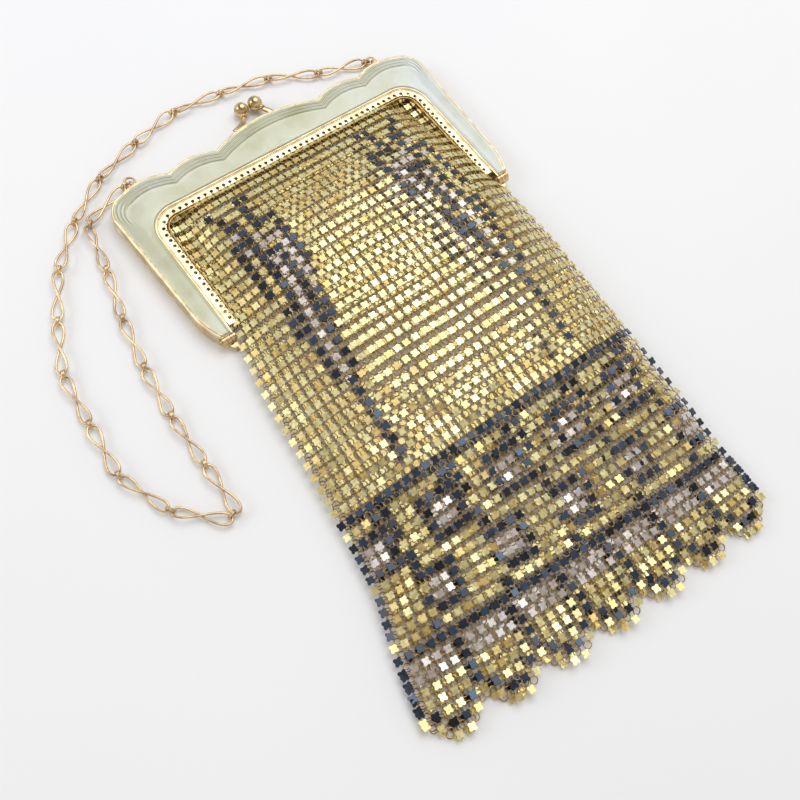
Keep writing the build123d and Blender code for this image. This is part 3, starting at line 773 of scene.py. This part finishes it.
def build_frame_dress():
    edge_inset, closing_inset, bead_inset = 0.32, 0.30, 0.28
    for side, body, upward in (("front", "front_frame", True), ("back", "back_frame", False)):
        lower_y = HINGE_Y if upward else TIP[1]
        face = FACE_Z if upward else 2 * MIDDLE_Z - FACE_Z
        inwards = -1 if upward else 1
        enamel_face(f"{side}_enamel_face", body, lower_y, upward)
        outer = outer_line()
        facing = opposite(outer)
        outer = outer[outer[:, 1] >= lower_y]
        way = unit(facing[: len(outer)] - outer)
        sunk = 0.30 if upward else EDGE_WIRE      # the back's edge may not pass below the table
        add_wire(f"{side}_rolled_edge", outer + edge_inset * way, face + inwards * sunk, EDGE_WIRE, body)
        closing = MIDDLE_Z - inwards * EDGE_WIRE
        add_wire(f"{side}_closing_edge", outer + closing_inset * way, closing, CLOSING_WIRE, body)
        bead_z = face + inwards * (RIM_DEPTH - 0.04)
        add_wire(f"{side}_rim_bead", seat_line(bead_inset), bead_z, BEAD_WIRE, body)
        lacing_rings(f"{side}_lacing_rings", body, face + inwards * (RIM_DEPTH + LACING_DEPTH))


build_frame_dress()


# ---------------------------------------------------------------- the clasp

def centre_of(node):
    low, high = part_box(node)
    return np.array((low + high) / 2) / MM


KNOB_RADIUS = 2.4


def clasp(side, body, outwards, face_z):
    """A knob with a waisted neck on a strap that stands on the frame's top edge."""
    centre = centre_of(f"{side}_clasp_knob")
    angle = np.linspace(0.02, math.pi - 0.42, 22)
    ball = [(0, KNOB_RADIUS)] + [(KNOB_RADIUS * math.sin(a), KNOB_RADIUS * math.cos(a)) for a in angle]
    neck = [(0.82, -2.25), (0.78, -2.55), (1.05, -2.75), (1.05, -3.05), (0.7, -3.2), (0, -3.25)]
    lean = unit(np.array([-0.35 * outwards, 1.0, 0.0]))
    sideways = np.cross(lean, (0, 0, 1))
    verts, faces = turned((ball + neck)[::-1], 40)
    verts = np.einsum("vk,kj->vj", verts, np.stack([sideways, np.array([0, 0, 1.0]), lean])) + centre
    knob = as_piece(f"{side}_knob", verts, faces, KNOB_GILT)
    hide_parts(f"{side}_clasp_knob")
    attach(knob, body)

    steps, corners = 18, 12
    foot = np.array([8.6 * outwards, 8.3, face_z])
    top = centre - 3.0 * lean
    bend = np.array([6.4 * outwards, 10.6, (face_z + centre[2]) / 2])
    t = np.linspace(0, 1, steps)[:, None]
    path = (1 - t) ** 2 * foot + 2 * t * (1 - t) * bend + t**2 * top
    along = unit(np.gradient(path, axis=0))
    up = np.array([0, 0, 1.0])
    across = unit(np.cross(along, up))
    over = np.cross(across, along)
    half = smooth_through(t[:, 0], [(0, 2.5), (0.25, 1.8), (0.6, 1.0), (1, 0.8)])
    thick = smooth_through(t[:, 0], [(0, 0.35), (1, 0.5)])
    around = np.linspace(0, 2 * math.pi, corners, endpoint=False)
    squared = [np.sign(f(around)) * np.abs(f(around)) ** 0.5 for f in (np.cos, np.sin)]
    ring = (squared[0][None, :, None] * (half[:, None, None] * across[:, None, :])
            + squared[1][None, :, None] * (thick[:, None, None] * over[:, None, :])) + path[:, None, :]
    verts = ring.reshape(-1, 3)
    index = np.arange(steps * corners).reshape(steps, corners)
    quads = np.stack(
        [index[:-1], index[1:], np.roll(index[1:], -1, 1), np.roll(index[:-1], -1, 1)], -1).reshape(-1, 4)
    ends = np.stack([index[0], index[-1, ::-1]])
    strap = as_piece(f"{side}_clasp_strap", verts, [quads, ends], KNOB_GILT)
    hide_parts(f"{side}_clasp_arm")
    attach(strap, body)


clasp("front", "front_frame", -1, FACE_Z - 0.4)
clasp("back", "back_frame", 1, 0.4)


# ---------------------------------------------------------------- the chain

def pieces_of(node):
    """The separate solids of a CAD node, each as its points in millimetres."""
    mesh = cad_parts[node].data
    points = np.empty(len(mesh.vertices) * 3)
    mesh.vertices.foreach_get("co", points)
    points = points.reshape(-1, 3) / MM
    owner = list(range(len(points)))

    def root(k):
        while owner[k] != k:
            owner[k] = owner[owner[k]]
            k = owner[k]
        return k

    same_place = {}
    for k, key in enumerate(map(tuple, np.round(points, 3))):
        owner[root(k)] = root(same_place.setdefault(key, k))
    for edge in mesh.edges:
        a, b = (root(v) for v in edge.vertices)
        owner[a] = b
    roots = np.array([root(k) for k in range(len(points))])
    return [points[roots == r] for r in np.unique(roots)]


LINK_WIRE, LINK_HALF_WIDTH, LINK_CROSSING = 0.36, 1.42, 0.42
COIL_RADIUS, COIL_WIRE, COIL_LENGTH = 1.22, 0.27, 0.85


def build_chain():
    """Figure-of-eight links whose wire passes over itself, and double-wound rings between them."""
    shapes = []
    for points in pieces_of("chain_links"):
        centre = points.mean(0)
        _, _, axes = np.linalg.svd(points - centre, full_matrices=False)
        long_way = unit(axes[0] * (1, 1, 0))
        reach = np.abs((points - centre) @ long_way).max() - 0.38
        t = np.linspace(0, 2 * math.pi, 56, endpoint=False)
        wide = LINK_HALF_WIDTH + random.normal(0, 0.07)
        roll = math.radians(random.normal(0, 9))
        flat = np.cross((0, 0, 1), long_way)
        side = flat * math.cos(roll) + np.array([0, 0, 1]) * math.sin(roll)
        up = np.cross(long_way, side)
        path = (centre + (reach * np.cos(t))[:, None] * long_way + (wide * np.sin(2 * t))[:, None] * side
                + (LINK_CROSSING * np.sin(t))[:, None] * up)
        path[:, 2] = np.maximum(path[:, 2], LINK_WIRE + 0.04)
        shapes.append(tube(path, LINK_WIRE, 8, closed=True, reference=tuple(up)))
    links = as_piece("chain_wire_links", *joined(shapes), CHAIN_GILT)
    shapes = []
    for points in pieces_of("chain_rings"):
        centre = (points.min(0) + points.max(0)) / 2
        _, _, axes = np.linalg.svd(points - centre, full_matrices=False)
        normal = unit(axes[2] * (1, 1, 0))
        forward = np.cross(normal, (0, 0, 1))
        up = np.array([0, 0, 1.0])
        t = np.linspace(0, 4 * math.pi, 50)
        path = (centre + COIL_RADIUS * np.cos(t)[:, None] * forward + COIL_RADIUS * np.sin(t)[:, None] * up
                + ((t / (4 * math.pi) - 0.5) * COIL_LENGTH)[:, None] * normal)
        path[:, 2] = np.maximum(path[:, 2], COIL_WIRE + 0.03)
        shapes.append(tube(path, COIL_WIRE, 8, reference=tuple(normal)))
    rings = as_piece("chain_wound_rings", *joined(shapes), CHAIN_GILT)
    for piece, node in ((links, "chain_links"), (rings, "chain_rings")):
        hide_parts(node)
        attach(piece, "chain")


build_chain()


# ---------------------------------------------------------------- the CAD pieces that stay

for node, material in (
        ("front_mesh_rim", RIM_GILT), ("back_mesh_rim", RIM_GILT),
        ("front_lacing_wire", RING_GOLD), ("back_lacing_wire", RING_GOLD),
        ("chain_eye_left", CHAIN_GILT), ("chain_eye_right", CHAIN_GILT),
        ("end_ring_left", CHAIN_GILT), ("end_ring_right", CHAIN_GILT),
        ("hinge_pin_left", KNOB_GILT), ("hinge_pin_right", KNOB_GILT),
        ("front_frame_shell", SHELL_GILT), ("back_frame_shell", SHELL_GILT)):
    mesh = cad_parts[node].data
    mesh.materials.clear()
    mesh.materials.append(material)


# ---------------------------------------------------------------- floor, light and camera

def build_stage():
    floor_mesh = bpy.data.meshes.new("floor")
    reach = 3.0
    corners = [(-reach, -reach, 0), (reach, -reach, 0), (reach, reach, 0), (-reach, reach, 0)]
    floor_mesh.from_pydata(corners, [], [(0, 1, 2, 3)])
    floor = bpy.data.objects.new("floor", floor_mesh)
    bpy.context.scene.collection.objects.link(floor)
    floor.location.z = -0.00005
    material, nodes, links, shader = new_material("floor_card")
    fleck = noise(nodes, 6, 3)
    object_coordinates(nodes, links, fleck)
    card = ramp(nodes, links, fleck.outputs["Fac"], [(0.3, (0.90, 0.92, 0.97)), (0.7, (0.92, 0.94, 0.98))])
    links.new(card.outputs["Color"], shader.inputs["Base Color"])
    shader.inputs["Roughness"].default_value = 0.7
    floor_mesh.materials.append(material)


def area_light(name, place, target, size, power, colour=(1, 1, 1)):
    light = bpy.data.lights.new(name, "AREA")
    light.shape = "DISK"
    light.size = size
    light.energy = power
    light.color = colour
    lamp = bpy.data.objects.new(name, light)
    lamp.location = place
    lamp.rotation_euler = (Vector(target) - Vector(place)).to_track_quat("-Z", "Y").to_euler()
    bpy.context.scene.collection.objects.link(lamp)


def build_light():
    middle = (0, -0.08, 0)
    area_light("window", (0.33, 0.18, 0.92), middle, 0.95, 6.0, (0.93, 0.97, 1.0))
    area_light("side_window", (-0.75, 0.45, 0.50), middle, 0.5, 2.2, (0.93, 0.96, 1.0))
    world = bpy.data.worlds.new("room")
    bpy.context.scene.world = world
    world.use_nodes = True
    nodes, links = world.node_tree.nodes, world.node_tree.links
    place = nodes.new("ShaderNodeTexCoord")
    parts = nodes.new("ShaderNodeSeparateXYZ")
    links.new(place.outputs["Generated"], parts.inputs["Vector"])
    height = ramp(nodes, links, parts.outputs["Z"], [
        (0.0, (0.90, 0.90, 0.92)), (0.55, (0.80, 0.78, 0.74)),
        (0.75, (0.52, 0.44, 0.34)), (1.0, (0.40, 0.32, 0.23))])
    links.new(height.outputs["Color"], nodes["Background"].inputs["Color"])
    nodes["Background"].inputs["Strength"].default_value = 0.80


CAMERA_PLACE = (-0.1048, -0.1571, 0.2312)
CAMERA_TILT = 24.58                 # degrees up from straight down
CAMERA_HEADING = -51.79             # degrees about Z
CAMERA_ROLL = 15.45
CAMERA_LENS = 40.29


def build_camera():
    camera = bpy.data.objects.new("camera", bpy.data.cameras.new("camera"))
    bpy.context.scene.collection.objects.link(camera)
    turn = (Matrix.Rotation(math.radians(CAMERA_HEADING), 3, "Z")
            @ Matrix.Rotation(math.radians(CAMERA_TILT), 3, "X")
            @ Matrix.Rotation(math.radians(CAMERA_ROLL), 3, "Z"))
    camera.matrix_world = Matrix.Translation(CAMERA_PLACE) @ turn.to_4x4()
    camera.data.lens = CAMERA_LENS
    camera.data.sensor_width = 36
    camera.data.clip_start = 0.01
    bpy.context.scene.camera = camera


build_stage()
build_light()
build_camera()
bpy.context.scene.view_settings.view_transform = "Standard"
